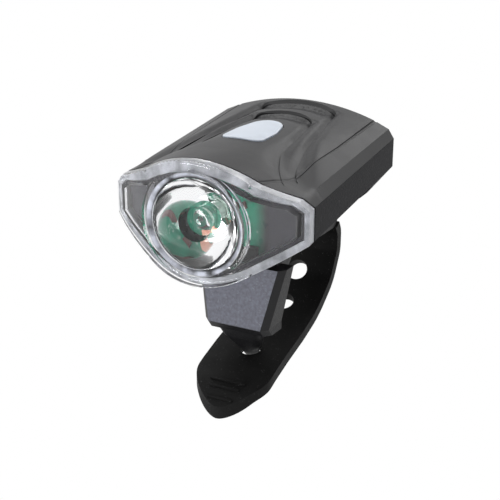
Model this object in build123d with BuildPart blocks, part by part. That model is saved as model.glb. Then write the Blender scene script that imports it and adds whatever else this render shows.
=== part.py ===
from build123d import *
import os
from math import atan2, cos, degrees, radians, sin, sqrt

# Bike headlight on a strap bracket, in millimetres.
# The origin is on the axis of the handlebar, which runs along X.
# The lamp shines along -Y and Z is up.
# Case sizes are measured from the lens: y back from its front plane, z up from its optical axis.

os.makedirs("parts", exist_ok=True)

# Handlebar, and the lens above and ahead of it
bar_radius = 11.1
lens_ahead = 38.5
lens_above = 26.3

# Cuts run this far past what they cut
overrun = 3.0

# Case form
half_width = 23.0
case_length = 59.0
crown_front = 13.9
crown_rear = 13.4
shoulder_top = 9.8
shoulder_inset = 10.7
shoulder_fall = 24.3
shoulder_rise = 3.0
ridge_inset_front = 2.1
ridge_inset_rear = 1.4
parting_front = 3.7
parting_rear = 6.5
flank_bottom_front = 3.8
flank_bottom_rear = 0.4
wall = 1.8
roof_wall = 2.8
rear_wall = 2.4
parting_gap = 0.05
rear_edge_round = 1.4

# Stations along the case: share of its length, then shares of the half width and crown
case_shares = (
    (-0.051, 0.530, 0.530, 0.712, 1.000),
    (0.041, 0.539, 0.539, 0.712, 1.000),
    (0.100, 0.604, 0.560, 0.700, 0.965),
    (0.159, 0.665, 0.580, 0.690, 0.930),
    (0.251, 0.700, 0.610, 0.680, 0.880),
    (0.610, 0.757, 0.670, 0.640, 0.790),
    (1.000, 0.787, 0.740, 0.575, 0.680),
)

# Window, with front face and joint both swept back in plan
cover_sweep_radius = 38.0
cover_depth = 2.3
cover_face = -0.3
cover_wall = 1.8
cover_edge_round = 0.6
cover_lip = 1.6
cover_lip_wall = 1.0
notch_radius = 0.45

# Lens
lens_ring_radius = 11.3
lens_ring_depth = 1.5
lens_face_radius = 9.9
lens_face_drop = 0.45
lens_depth = 9.4
lens_foot_radius = 3.6
lens_well_radius = 3.8
lens_well_depth = 3.6
lens_bullseye = 0.8
led_recess_radius = 2.7
led_recess_depth = 2.6
collar_radius = 12.5
collar_face = 0.15
lens_body_radius = 10.0
lens_waist_radius = 7.5
lens_waist_share = 0.52
lens_well_draft = 0.4
lens_clearance = 0.1

# Seal and bezel behind the window
seal_thickness = 0.5
seal_inset = 0.4
fit_gap = 0.15
bezel_thickness = 1.1
bezel_opening_half = 14.2
bezel_opening_height = 18.6
bezel_opening_round = 6.0
bezel_rim = 1.0

# LED board with its heatsink
board_thickness = 1.0
led_board_half_width = 13.0
led_board_height = 17.0
led_board_round = 3.0
led_board_face = 10.6
heatsink_thickness = 1.6
heatsink_drop = 2.0
led_size = 3.5
led_base_height = 0.6
led_dome_radius = 1.3
chip_long = 1.6
chip_wide = 0.8
chip_tall = 0.5
chip_ring_radius = 7.2
chip_count = 9
chip_start_angle = -50.0
chip_range = 280.0
strip_width = 1.5
strip_length = 5.2
strip_gap = 1.3
strip_thickness = 0.12
strip_drop = 2.6
board_slot_rib = 1.2
board_slot_gap = 0.1
slot_out = 8.5
slot_width = 3.0
slot_rib_top = -6.5

# Main board
main_board_top = 6.0
main_board_side_gap = 1.3
main_board_start = 14.4
main_board_rear_gap = 1.4
main_board_round = 1.5
board_screw_side_inset = 2.6
board_screw_front_inset = 3.0
board_screw_rear_inset = 5.2
board_post_radius = 1.9
board_screw_radius = 0.8
board_screw_head = 1.5
board_screw_head_height = 0.9
board_screw_length = 3.6
board_post_top = 9.4
screw_clearance = 0.05

# Button and its switch
button_arch_gap = 17.7
button_half_width = 4.95
button_length = 17.8
button_front_round = 2.6
button_side_round = 3.7
button_rear_round = 3.9
button_side_share = 0.5
button_proud = 0.35
button_gap = 0.2
button_flange = 1.1
button_flange_bottom = 9.4
button_flange_gap = 0.1
button_crown_radius = 28.0
button_travel = 0.5
button_edge_round = 0.3
button_boss_radius = 1.9
plunger_gap = 0.05
plunger_radius = 1.6
plunger_height = 1.2
plunger_floor_gap = 0.4
plunger_clearance = 0.05
switch_size = 6.0
switch_height = 2.0
switch_well_floor = 0.5
status_led_out = 5.4

# Terraces: corner, top of the arch, leg, knee and flare as shares of the half width and case length
terrace_fade = 2.0
inner_fall = 1.65
outer_fall = 0.82
riser_foot_drop = 1.7
riser_spread_share = 0.85
inner_terrace_shares = ((0.313, 0.756), (0.0, 0.807), (0.430, 0.386), (0.504, 0.295), (0.713, 0.159))
outer_terrace_shares = ((0.409, 0.905), (0.0, 0.946), (0.535, 0.542), (0.626, 0.366), (0.748, 0.247))

# Crease groove between crown and shoulder
crease_groove_radius = 0.55
# Groove radius from the front station to the rear, as shares of the largest
crease_groove_shares = (0.2, 0.2, 0.2, 0.2, 0.45, 1.0)

# Battery and its pad on two floor rails
battery_side_gap = 0.5
battery_socket_gap = 0.8
battery_top_gap = 0.9
battery_round = 1.6
battery_start = 16.2
battery_bottom = -6.0
pad_thickness = 0.8
rail_inset = 4.0
rail_width = 1.6
wire_radius = 0.6
battery_wire_outs = (6.4, 8.6)
battery_wire_up = 1.0
battery_wire_reach = 2.2
led_wire_radius = 0.5
led_wire_out = 2.0
led_wire_up = 7.9
led_wire_reach = 4.2
wire_bend_share = 0.44

# Parts below and above the main board
driver_size = 5.0
driver_height = 1.2
inductor_size = 4.0
inductor_height = 1.8
capacitor_radius = 1.5
capacitor_height = 1.7
part_out = 7.0
part_button_gap = 7.9
part_rear_inset = 12.2
status_led_height = 0.6

# Charging socket and flap in the rear wall
socket_width = 7.6
socket_height = 2.6
socket_depth = 5.4
socket_wall = 0.35
socket_tongue = 0.7
socket_tongue_width = 4.4
socket_floor = 0.9
socket_gap = 0.2
port_width = 9.4
port_height = 4.0
flap_width = 13.6
flap_top = 5.9
flap_bottom = -0.6
flap_thickness = 1.4
flap_gap = 0.15
flap_plug_length = 0.9
flap_plug_clearance = 0.35
flap_trunnion_radius = 0.35
flap_trunnion_length = 0.8
flap_trunnion_gap = 0.06

# Screws that join the shells from below
case_screw_side_inset = 4.6
case_screw_front = 17.0
case_screw_rear_inset = 6.4
case_screw_radius = 1.0
case_screw_head = 1.9
case_screw_head_height = 1.3
case_screw_seat = -2.9
case_screw_tip = 6.9
case_post_radius = 2.9
case_post_bottom = -7.5
case_boss_top = 6.6

# Swivel between case and bracket
swivel_seat_radius = 9.5
swivel_seat_bottom = -11.4
swivel_seat_top = -9.2
swivel_gap = 0.15
swivel_boss_radius = 4.0
swivel_running = 0.06
washer_radius = 6.5
washer_thickness = 0.6
swivel_screw_radius = 1.5
swivel_screw_head = 2.7
swivel_screw_head_height = 1.4
swivel_screw_length = 4.0
washer_gap = 0.05

# Bracket
pad_bond = 0.05
swivel_rim_gap = 0.5
arch_top = 13.3
ear_root = 6.0
ear_root_length = 4.0
ear_root_height = 4.3
saddle_pad_thickness = 1.3
saddle_front_angle = 168.0
saddle_rear_angle = 46.0
arch_half_width = 8.3
block_face_bottom = -4.7
block_face_bottom_ahead = 20.3
block_face_bottom_half = 6.7
block_face_top_ahead = 17.4
block_face_top_half = 9.7
block_mid_bottom_half = 8.2
block_mid_top_half = 11.2
block_mid_back = 1.7
block_back_bottom_half = 8.6
block_back_top_half = 11.5
block_back = 12.6
block_bottom = -6.8
block_top = 9.7
neck_top_front = -11.8
neck_front = -15.0
saddle_rear_lip = 3.2
hook_widths = (10.4, 9.0, 7.0)
hook_depths = (5.9, 5.4, 4.9)
hook_rounds = (0.8, 1.4, 2.0)
hook_backs = (-15.9, -14.6, -12.8)
hook_levels = (-6.2, -9.2, -12.0)
hook_neck_radius = 2.3
hook_tip_radius = 1.25
hook_tip_shift = 0.95
hook_past_strap = 0.9
hook_strap_gap = 0.3

# Strap
strap_thickness = 2.4
strap_half_width = 9.4
strap_hole_radius = 2.65
# Route of its middle, from the pin round the bar to the tip, in shares of the bar radius: y, then z
strap_route_shares = (
    (1.577, 1.000),
    (1.838, 0.559),
    (1.829, 0.108),
    (1.459, -0.505),
    (0.676, -1.000),
    (-0.135, -1.225),
    (-0.946, -1.378),
    (-1.577, -1.532),
    (-2.270, -1.748),
    (-2.757, -2.144),
)
strap_bend_shares = (0.36, 0.45, 1.08, 2.7, 5.4, 5.4, 3.6, 0.72)
# Holes along the strap, then ribs, as shares of its length
strap_hole_shares = (0.258, 0.4095, 0.547, 0.689)
rib_shares = (0.870, 0.896, 0.934)
strap_eye_half_width = 6.0
strap_eye_radius = 2.9
strap_ear_gap = 0.35
strap_tip_taper = 9.7
# Curve of the tip from its root to its point: shares of the half width and of the taper
strap_tip_shares = ((1.0, 1.0), (1.0, 0.475), (0.32, 0), (0, 0))
rib_half_lengths = (4.6, 3.9, 3.3)
rib_height = 0.45
rib_width = 0.55
pin_radius = 1.25
pin_running = 0.08
ear_inner_half = 6.3
ear_outer_half = 8.9
ear_radius = 2.9


def blend(front, rear, share):
    """Size that changes evenly along the case."""
    return front + (rear - front) * share


def shoulder_height(out, back):
    """Height of the flat shoulder panel over the optical axis."""
    fall = sin(radians(shoulder_fall)) / cos(radians(shoulder_fall))
    rise = sin(radians(shoulder_rise)) / cos(radians(shoulder_rise))
    return shoulder_top - fall * (out - half_width + shoulder_inset) + rise * back


def cross_plane(back):
    """Plane across the lamp, with x to the right and y up from the optical axis."""
    return Plane((0, back - lens_ahead, lens_above), x_dir=(1, 0, 0), z_dir=(0, -1, 0))


def plan_plane(up):
    """Level plane of the lamp, with y back from the lens plane."""
    return Plane((0, -lens_ahead, lens_above + up), x_dir=(1, 0, 0), z_dir=(0, 0, 1))


def case_section(shares, inset, roof_inset):
    """Outline of the case across the lamp at one station."""
    along, crease_share, corner_share, corner_drop_share, belly_share = shares
    back = along * case_length
    crease_out = crease_share * half_width - inset / 2
    ridge_out = half_width - blend(ridge_inset_front, ridge_inset_rear, along) - inset
    side_out = half_width - inset
    crown_top = blend(crown_front, crown_rear, along) - roof_inset
    crease_top = shoulder_height(crease_out, back) - roof_inset
    ridge_top = shoulder_height(ridge_out, back) - inset
    side_top = blend(parting_front, parting_rear, along) - inset / 3
    side_bottom = -blend(flank_bottom_front, flank_bottom_rear, along) + inset / 2
    corner_out = corner_share * half_width - inset / 3
    corner_bottom = -corner_drop_share * crown_front + inset
    belly_bottom = -belly_share * crown_front + inset
    right = (
        (crease_out, crease_top),
        (ridge_out, ridge_top),
        (side_out, side_top),
        (side_out, side_bottom),
        (corner_out, corner_bottom),
    )
    left = tuple((-out, up) for out, up in right)
    with BuildSketch(cross_plane(back)) as outline:
        with BuildLine():
            ThreePointArc(left[0], (0, crown_top), right[0])
            Polyline(*right)
            ThreePointArc(right[-1], (0, belly_bottom), left[-1])
            Polyline(*reversed(left))
        make_face()
    return outline.sketch


def swept_region(back, ahead):
    """Plan area ahead of or behind the swept line that crosses the middle at this distance."""
    reach = half_width + overrun
    end = back + cover_sweep_radius - sqrt(cover_sweep_radius**2 - reach**2)
    far = -case_length if ahead else 2 * case_length
    with BuildSketch(plan_plane(-half_width)) as region:
        with BuildLine():
            ThreePointArc((-reach, end), (0, back), (reach, end))
            Polyline((reach, end), (reach, far), (-reach, far), (-reach, end))
        make_face()
    return region.sketch


def horseshoe(shares, up, spread):
    """Plan area inside one terrace, open to the front, at one height and spread outwards."""
    corner, arch, leg, knee, flare = [(half_width * out, case_length * back) for out, back in shares]
    corner = (corner[0] + spread, corner[1] + spread)
    arch = (0, arch[1] + spread)
    leg, knee, flare = [(out + spread, back) for out, back in (leg, knee, flare)]
    with BuildSketch(plan_plane(up)) as area:
        with BuildLine():
            ThreePointArc((-corner[0], corner[1]), arch, corner)
            Line(corner, leg)
            Spline(leg, knee, flare, tangents=((leg[0] - corner[0], leg[1] - corner[1]), (1, -1)))
            Polyline(flare, (flare[0] + overrun, -overrun), (-flare[0] - overrun, -overrun), (-flare[0], flare[1]))
            Spline(
                (-flare[0], flare[1]),
                (-knee[0], knee[1]),
                (-leg[0], leg[1]),
                tangents=((1, 1), (leg[0] - corner[0], corner[1] - leg[1])),
            )
            Line((-leg[0], leg[1]), (-corner[0], corner[1]))
        make_face()
    return area.sketch


def button_outline(grow, up):
    """Rounded shield of the button, flat at the front and narrower behind, at one height."""
    front = button_centre - button_length / 2
    corner_out = button_half_width - button_front_round
    side_out = button_half_width - button_side_round
    with BuildSketch(plan_plane(up)) as outline:
        with Locations((-corner_out, front + button_front_round), (corner_out, front + button_front_round)):
            Circle(button_front_round + grow)
        with Locations((-side_out, front + button_length * button_side_share),
                       (side_out, front + button_length * button_side_share)):
            Circle(button_side_round + grow)
        with Locations((0, front + button_length - button_rear_round)):
            Circle(button_rear_round + grow)
        make_hull()
    return outline.sketch


def round_slice(plane, radius, place):
    """Circle at a place on a plane."""
    with BuildSketch(plane) as outline:
        with Locations(place):
            Circle(radius)
    return outline.sketch


def swept_band(start, stop):
    """Solid between two swept lines, taller than the lamp."""
    with BuildPart() as band:
        add(extrude(swept_region(start, ahead=False), amount=2 * half_width + overrun, mode=Mode.PRIVATE))
        add(extrude(swept_region(stop, ahead=False), amount=2 * half_width + overrun, mode=Mode.PRIVATE),
            mode=Mode.SUBTRACT)
    return band.part


def inset_form(inset, roof_inset):
    """Front stretch of the case form, drawn in by a wall."""
    with BuildPart() as form:
        loft(sections=[case_section(shares, inset, roof_inset) for shares in case_shares[:-1]], ruled=True)
    return form.part


def parting_block(above, gap):
    """Solid on one side of the sloping parting plane."""
    climb = (parting_rear - parting_front) / case_length
    start = parting_front + gap
    far = half_width + overrun if above else -half_width - overrun
    near = -2 * overrun
    reach = case_length + overrun
    with BuildPart() as block:
        with BuildSketch(Plane((0, -lens_ahead, lens_above), x_dir=(0, 1, 0), z_dir=(1, 0, 0))):
            with BuildLine():
                Polyline((near, start + climb * near), (reach, start + climb * reach), (reach, far), (near, far),
                         close=True)
            make_face()
        extrude(amount=half_width + overrun, both=True)
    return block.part


def posts(places, radius, bottom, top):
    """Upright round posts of the lamp between two heights."""
    with BuildPart() as group:
        with BuildSketch(plan_plane(bottom)):
            with Locations(*places):
                Circle(radius)
        extrude(amount=top - bottom)
    return group.part


def plate(plane, width, height, corner, thickness):
    """Plate with round corners, centred on a plane."""
    with BuildPart() as flat:
        with BuildSketch(plane):
            RectangleRounded(width, height, corner)
        extrude(amount=thickness)
    return flat.part


# Places that follow the case
inner_arch_back = case_length * inner_terrace_shares[1][1]
button_centre = inner_arch_back - button_arch_gap
case_screw_out = half_width - case_screw_side_inset
case_screw_rear = case_length - case_screw_rear_inset
main_board_half_width = case_screw_out - case_post_radius - main_board_side_gap
main_board_end = case_length - rear_wall - main_board_rear_gap
board_screw_out = main_board_half_width - board_screw_side_inset
board_screw_front = main_board_start + board_screw_front_inset
board_screw_rear = main_board_end - board_screw_rear_inset
part_front = button_centre - part_button_gap
part_rear = main_board_end - part_rear_inset
board_under = main_board_top - board_thickness
battery_width = 2 * (case_screw_out - case_post_radius - battery_side_gap)
battery_length = case_length - rear_wall - socket_gap - socket_depth - battery_socket_gap - battery_start
battery_thickness = board_under - board_screw_head_height - battery_top_gap - battery_bottom
rail_out = battery_width / 2 - rail_inset

# Slot that holds LED board and heatsink on edge
slot_front = led_board_face - board_slot_gap - board_slot_rib
slot_rear = led_board_face + board_thickness + heatsink_thickness + board_slot_gap

# Tool bodies: the outer form of the case and its hollow
with BuildPart() as case_form:
    loft(sections=[case_section(shares, 0, 0) for shares in case_shares], ruled=True)
    fillet(case_form.faces().sort_by(Axis.Y)[-1].edges(), rear_edge_round)

with BuildPart() as case_hollow:
    loft(sections=[case_section(shares, wall, roof_wall) for shares in case_shares], ruled=True)
    with BuildSketch(cross_plane(case_length - rear_wall)):
        Rectangle(2 * half_width, 2 * half_width)
    extrude(amount=-case_length, mode=Mode.SUBTRACT)

# Floors of the two terraces: the case form tipped down to the rear about a line near the front
tip_line = Axis((0, terrace_fade - lens_ahead, lens_above + crown_front), (1, 0, 0))
outer_floor = case_form.part.rotate(tip_line, -outer_fall)
inner_floor = case_form.part.rotate(tip_line, -inner_fall)

# Heights and places that several pieces share
shell_front = cover_depth + seal_thickness
tall = 2 * half_width + overrun
switch_top = main_board_top + switch_height
plunger_bottom = main_board_top + switch_well_floor + button_travel + plunger_floor_gap
plunger_top = plunger_bottom + plunger_height
board_posts = [(side * board_screw_out, back) for side in (-1, 1) for back in (board_screw_front, board_screw_rear)]
case_posts = [(side * case_screw_out, back) for side in (-1, 1) for back in (case_screw_front, case_screw_rear)]
socket_back = case_length - rear_wall - socket_gap
port_up = board_under - socket_height / 2
swivel_pocket_top = battery_bottom - pad_thickness
flap_hinge_radius = flap_thickness / 2

# Top cover: crowned shell with terraces, button opening, board posts and screw bosses
with BuildPart() as top_cover:
    add(case_form.part)
    add(extrude(swept_region(shell_front, ahead=True), amount=tall, mode=Mode.PRIVATE), mode=Mode.SUBTRACT)
    for floor, shares in ((outer_floor, outer_terrace_shares), (inner_floor, inner_terrace_shares)):
        foot = horseshoe(shares, crown_front - riser_foot_drop, 0)
        top = horseshoe(shares, crown_front + riser_foot_drop, 2 * riser_foot_drop * riser_spread_share)
        risers = loft(sections=[foot, top], ruled=True, mode=Mode.PRIVATE)
        below = extrude(foot, amount=-crown_front, mode=Mode.PRIVATE)
        add(risers + below - floor, mode=Mode.SUBTRACT)
    for side in (-1, 1):
        groove = []
        for shares, depth_share in zip(case_shares[1:], crease_groove_shares):
            crease_out = shares[1] * half_width
            back = shares[0] * case_length
            groove.append(round_slice(cross_plane(back), crease_groove_radius * depth_share,
                                      (side * crease_out, shoulder_height(crease_out, back))))
        add(loft(sections=groove, ruled=True, mode=Mode.PRIVATE), mode=Mode.SUBTRACT)
    add(case_hollow.part, mode=Mode.SUBTRACT)
    add(posts(case_posts, case_post_radius, parting_front, case_boss_top))
    add(parting_block(above=False, gap=parting_gap), mode=Mode.SUBTRACT)
    add(posts(board_posts, board_post_radius, main_board_top, board_post_top))
    add(extrude(button_outline(button_gap, main_board_top), amount=half_width, mode=Mode.PRIVATE), mode=Mode.SUBTRACT)
    add(posts(board_posts, board_screw_radius + screw_clearance, board_under, board_under + board_screw_length),
        mode=Mode.SUBTRACT)
    add(posts(case_posts, case_screw_radius + screw_clearance, 0, case_screw_tip), mode=Mode.SUBTRACT)
top_cover.part.label = "top_cover"
export_step(top_cover.part, "parts/top_cover.step")

# Bottom case: deep shell with swivel seat, battery rails, board slot, screw posts and charging port
with BuildPart() as bottom_inside:
    add(posts(case_posts, case_post_radius, case_post_bottom, parting_rear))
    for side in (-1, 1):
        with BuildSketch(plan_plane(swivel_seat_bottom)):
            with Locations((side * rail_out, battery_start + battery_length / 2)):
                Rectangle(rail_width, battery_length)
        extrude(amount=battery_bottom - pad_thickness - swivel_seat_bottom)
        with BuildSketch(plan_plane(-crown_front)):
            with Locations((side * slot_out, (slot_front + slot_rear + board_slot_rib) / 2)):
                Rectangle(slot_width, slot_rear + board_slot_rib - slot_front)
        extrude(amount=crown_front + slot_rib_top)
    with BuildSketch(cross_plane(slot_front + board_slot_rib)):
        with Locations((0, half_width - led_board_height / 2 - board_slot_gap)):
            Rectangle(2 * half_width, 2 * half_width)
    extrude(amount=-(slot_rear - slot_front - board_slot_rib), mode=Mode.SUBTRACT)
    add(case_form.part, mode=Mode.INTERSECT)

with BuildPart() as bottom_case:
    add(case_form.part)
    add(extrude(swept_region(shell_front, ahead=True), amount=tall, mode=Mode.PRIVATE), mode=Mode.SUBTRACT)
    add(case_hollow.part, mode=Mode.SUBTRACT)
    add(bottom_inside.part)
    add(parting_block(above=True, gap=0), mode=Mode.SUBTRACT)
    add(posts([(0, lens_ahead)], swivel_seat_radius, -tall, swivel_pocket_top), mode=Mode.SUBTRACT)
    add(posts([(0, lens_ahead)], swivel_seat_radius, swivel_seat_bottom, swivel_seat_top))
    add(posts([(0, lens_ahead)], swivel_boss_radius + swivel_running, -tall, swivel_seat_top), mode=Mode.SUBTRACT)
    add(posts(case_posts, case_screw_head + 2 * screw_clearance, -tall, case_screw_seat), mode=Mode.SUBTRACT)
    add(posts(case_posts, case_screw_radius + screw_clearance, case_screw_seat, case_screw_tip), mode=Mode.SUBTRACT)
    with BuildSketch(cross_plane(case_length + overrun)):
        with Locations((0, port_up)):
            RectangleRounded(port_width, port_height, port_height / 4)
    extrude(amount=2 * rear_wall + overrun, mode=Mode.SUBTRACT)
    with BuildSketch(cross_plane(case_length + overrun)):
        with Locations((0, (flap_top + flap_bottom) / 2)):
            RectangleRounded(flap_width + 2 * flap_gap, flap_top - flap_bottom + 2 * flap_gap, flap_gap)
    extrude(amount=overrun + flap_thickness + flap_gap, mode=Mode.SUBTRACT)
    with BuildSketch(Plane((0, case_length - flap_hinge_radius - lens_ahead, flap_bottom + flap_hinge_radius + lens_above),
                           x_dir=(0, 1, 0), z_dir=(1, 0, 0))):
        Circle(flap_trunnion_radius + flap_trunnion_gap)
    extrude(amount=flap_width / 2 + flap_trunnion_length + flap_gap, both=True, mode=Mode.SUBTRACT)
bottom_case.part.label = "bottom_case"
export_step(bottom_case.part, "parts/bottom_case.step")

# Rim of the window: its tongue stands inside the shells, so the rim is as wide as wall, gap and tongue
tongue_inset = wall + fit_gap
tongue_roof_inset = roof_wall + fit_gap
rim_inset = tongue_inset + cover_lip_wall
rim_roof_inset = tongue_roof_inset + cover_lip_wall
tongue_back = cover_depth + cover_lip

# Front cover: clear swept window with a collar for the lens and a tongue that fits into the shells
with BuildPart() as front_cover:
    add(case_form.part)
    add(extrude(swept_region(cover_face, ahead=True), amount=tall, mode=Mode.PRIVATE), mode=Mode.SUBTRACT)
    add(extrude(swept_region(cover_depth, ahead=False), amount=tall, mode=Mode.PRIVATE), mode=Mode.SUBTRACT)
    hollow = inset_form(rim_inset, rim_roof_inset)
    hollow -= extrude(swept_region(cover_face + cover_wall, ahead=True), amount=tall, mode=Mode.PRIVATE)
    add(hollow, mode=Mode.SUBTRACT)
    tongue = inset_form(tongue_inset, tongue_roof_inset) & swept_band(cover_depth, tongue_back)
    tongue -= inset_form(rim_inset, rim_roof_inset)
    add(tongue)
    front_face = front_cover.faces().filter_by(GeomType.CYLINDER).sort_by(Axis.Y)[0]
    fillet(front_face.edges(), cover_edge_round)
    crease_out = case_shares[1][1] * half_width
    corner_out = case_shares[1][2] * half_width
    notches = [(side * crease_out, shoulder_height(crease_out, 0)) for side in (-1, 1)]
    notches += [(side * corner_out, -case_shares[1][3] * crown_front) for side in (-1, 1)]
    with BuildSketch(cross_plane(cover_depth)):
        with Locations(*notches):
            Circle(notch_radius)
    extrude(amount=cover_depth + overrun, mode=Mode.SUBTRACT)
    with BuildSketch(cross_plane(cover_depth)):
        Circle(collar_radius)
    extrude(amount=cover_depth - collar_face)
    with BuildSketch(cross_plane(lens_ring_depth)):
        Circle(lens_ring_radius + lens_clearance)
    extrude(amount=lens_ring_depth + overrun, mode=Mode.SUBTRACT)
    with BuildSketch(cross_plane(tongue_back)):
        Circle(lens_body_radius + lens_clearance)
    extrude(amount=tongue_back + overrun, mode=Mode.SUBTRACT)
front_cover.part.label = "front_cover"
export_step(front_cover.part, "parts/front_cover.step")

# Front seal between window and shells
with BuildPart() as front_seal:
    add(inset_form(seal_inset, seal_inset) & swept_band(cover_depth, shell_front))
    add(inset_form(wall, roof_wall), mode=Mode.SUBTRACT)
front_seal.part.label = "front_seal"
export_step(front_seal.part, "parts/front_seal.step")

# Inner bezel: dark frame behind the window
with BuildPart() as inner_bezel:
    add(inset_form(tongue_inset, tongue_roof_inset) & swept_band(tongue_back, tongue_back + bezel_thickness))
    with BuildSketch(cross_plane(case_length / 2)):
        RectangleRounded(2 * bezel_opening_half, bezel_opening_height, bezel_opening_round)
    opening = extrude(amount=case_length, mode=Mode.PRIVATE)
    add(opening & inset_form(tongue_inset + bezel_rim, tongue_roof_inset + bezel_rim), mode=Mode.SUBTRACT)
inner_bezel.part.label = "inner_bezel"
export_step(inner_bezel.part, "parts/inner_bezel.step")

# Collimator lens: ring, dropped face with a well, curved reflecting side and a recess for the LED
with BuildPart() as tir_lens:
    with BuildSketch(plan_plane(0)):
        with BuildLine():
            well_foot = lens_well_radius - lens_well_draft
            recess_floor = lens_depth - led_recess_depth
            waist = (lens_waist_radius, blend(lens_ring_depth, lens_depth, lens_waist_share))
            bullseye_radius = (well_foot**2 + lens_bullseye**2) / (2 * lens_bullseye)
            RadiusArc((0, lens_well_depth - lens_bullseye), (well_foot, lens_well_depth), bullseye_radius)
            Polyline(
                (well_foot, lens_well_depth),
                (lens_well_radius, lens_face_drop),
                (lens_face_radius, lens_face_drop),
                (lens_face_radius, 0),
                (lens_ring_radius, 0),
                (lens_ring_radius, lens_ring_depth),
                (lens_body_radius, lens_ring_depth),
            )
            ThreePointArc((lens_body_radius, lens_ring_depth), waist, (lens_foot_radius, lens_depth))
            Polyline(
                (lens_foot_radius, lens_depth),
                (led_recess_radius, lens_depth),
                (led_recess_radius, recess_floor),
                (0, recess_floor),
                (0, lens_well_depth - lens_bullseye),
            )
        make_face()
    revolve(axis=Axis((0, -lens_ahead, lens_above), (0, 1, 0)))
tir_lens.part.label = "tir_lens"
export_step(tir_lens.part, "parts/tir_lens.step")

# LED board on edge in the case slot, with its heatsink behind it
board_back = led_board_face + board_thickness
with BuildPart() as led_board:
    add(plate(cross_plane(board_back), 2 * led_board_half_width, led_board_height, led_board_round, board_thickness))
led_board.part.label = "led_board"
export_step(led_board.part, "parts/led_board.step")

with BuildPart() as heatsink_plate:
    with BuildSketch(cross_plane(board_back + heatsink_thickness)):
        with Locations((0, -heatsink_drop / 2)):
            RectangleRounded(2 * led_board_half_width, led_board_height - heatsink_drop, led_board_round)
    extrude(amount=heatsink_thickness)
heatsink_plate.part.label = "heatsink_plate"
export_step(heatsink_plate.part, "parts/heatsink_plate.step")

# LED with its dome
with BuildPart() as led_emitter:
    with BuildSketch(cross_plane(led_board_face)):
        Rectangle(led_size, led_size)
    extrude(amount=led_base_height)
    with BuildSketch(plan_plane(0)):
        dome_back = led_board_face - led_base_height
        with BuildLine():
            Polyline((0, dome_back - led_dome_radius), (0, dome_back), (led_dome_radius, dome_back))
            RadiusArc((led_dome_radius, dome_back), (0, dome_back - led_dome_radius), led_dome_radius)
        make_face()
    revolve(axis=Axis((0, -lens_ahead, lens_above), (0, 1, 0)))
led_emitter.part.label = "led_emitter"
export_step(led_emitter.part, "parts/led_emitter.step")

# Small chips round the LED, and the two copper strips below it
with BuildPart() as led_chips:
    with BuildSketch(cross_plane(led_board_face)):
        with PolarLocations(chip_ring_radius, chip_count, start_angle=chip_start_angle, angular_range=chip_range,
                            endpoint=True):
            Rectangle(chip_wide, chip_long)
    extrude(amount=chip_tall)
led_chips.part.label = "led_chips"
export_step(led_chips.part, "parts/led_chips.step")

with BuildPart() as copper_strips:
    with BuildSketch(cross_plane(led_board_face)):
        with Locations((0, -strip_drop - strip_length / 2)):
            with GridLocations(strip_width + strip_gap, 0, 2, 1):
                Rectangle(strip_width, strip_length)
    extrude(amount=strip_thickness)
copper_strips.part.label = "copper_strips"
export_step(copper_strips.part, "parts/copper_strips.step")

# Main board, hung under the top cover
with BuildPart() as main_board:
    board_length = main_board_end - main_board_start
    with BuildSketch(plan_plane(board_under)):
        with Locations((0, main_board_start + board_length / 2)):
            RectangleRounded(2 * main_board_half_width, board_length, main_board_round)
        with Locations(*board_posts):
            Circle(board_screw_radius + screw_clearance, mode=Mode.SUBTRACT)
    extrude(amount=board_thickness)
main_board.part.label = "main_board"
export_step(main_board.part, "parts/main_board.step")

with BuildPart() as board_screws:
    add(posts(board_posts, board_screw_head, board_under - board_screw_head_height, board_under))
    add(posts(board_posts, board_screw_radius, board_under, board_under + board_screw_length - screw_clearance))
board_screws.part.label = "board_screws"
export_step(board_screws.part, "parts/board_screws.step")

with BuildPart() as case_screws:
    add(posts(case_posts, case_screw_head, case_screw_seat - case_screw_head_height, case_screw_seat))
    add(posts(case_posts, case_screw_radius, case_screw_seat, case_screw_tip - screw_clearance))
case_screws.part.label = "case_screws"
export_step(case_screws.part, "parts/case_screws.step")

# Tactile switch with its plunger, and the power button above them
switch_place = [(0, button_centre)]
with BuildPart() as tactile_switch:
    with BuildSketch(plan_plane(main_board_top)):
        with Locations(*switch_place):
            RectangleRounded(switch_size, switch_size, switch_well_floor)
    extrude(amount=switch_height)
    add(posts(switch_place, plunger_radius + plunger_clearance, main_board_top + switch_well_floor,
              switch_top + overrun), mode=Mode.SUBTRACT)
tactile_switch.part.label = "tactile_switch"
export_step(tactile_switch.part, "parts/tactile_switch.step")

with BuildPart() as switch_plunger:
    add(posts(switch_place, plunger_radius, plunger_bottom, plunger_top))
switch_plunger.part.label = "switch_plunger"
export_step(switch_plunger.part, "parts/switch_plunger.step")

button_slope = radians(inner_fall) + atan2(crown_front - crown_rear, case_length)
button_top = crown_front - sin(button_slope) * (button_centre - terrace_fade) + button_proud
with BuildPart() as power_button:
    extrude(button_outline(0, button_flange_bottom), amount=crown_front + overrun - button_flange_bottom)
    flange = extrude(button_outline(button_flange, button_flange_bottom), amount=crown_front, mode=Mode.PRIVATE)
    ceiling = case_hollow.part.moved(Location((0, 0, -button_flange_gap)))
    add(flange & ceiling)
    with BuildSketch(Plane((0, button_centre - lens_ahead, lens_above), x_dir=(1, 0, 0),
                           z_dir=(0, -cos(button_slope), sin(button_slope)))):
        with Locations((0, button_top - button_crown_radius)):
            Circle(button_crown_radius)
    extrude(amount=half_width, both=True, mode=Mode.INTERSECT)
    fillet(power_button.faces().sort_by(Axis.Z)[-1].edges(), button_edge_round)
    add(posts(switch_place, button_boss_radius, plunger_top + plunger_gap, button_flange_bottom))
power_button.part.label = "power_button"
export_step(power_button.part, "parts/power_button.step")

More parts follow.
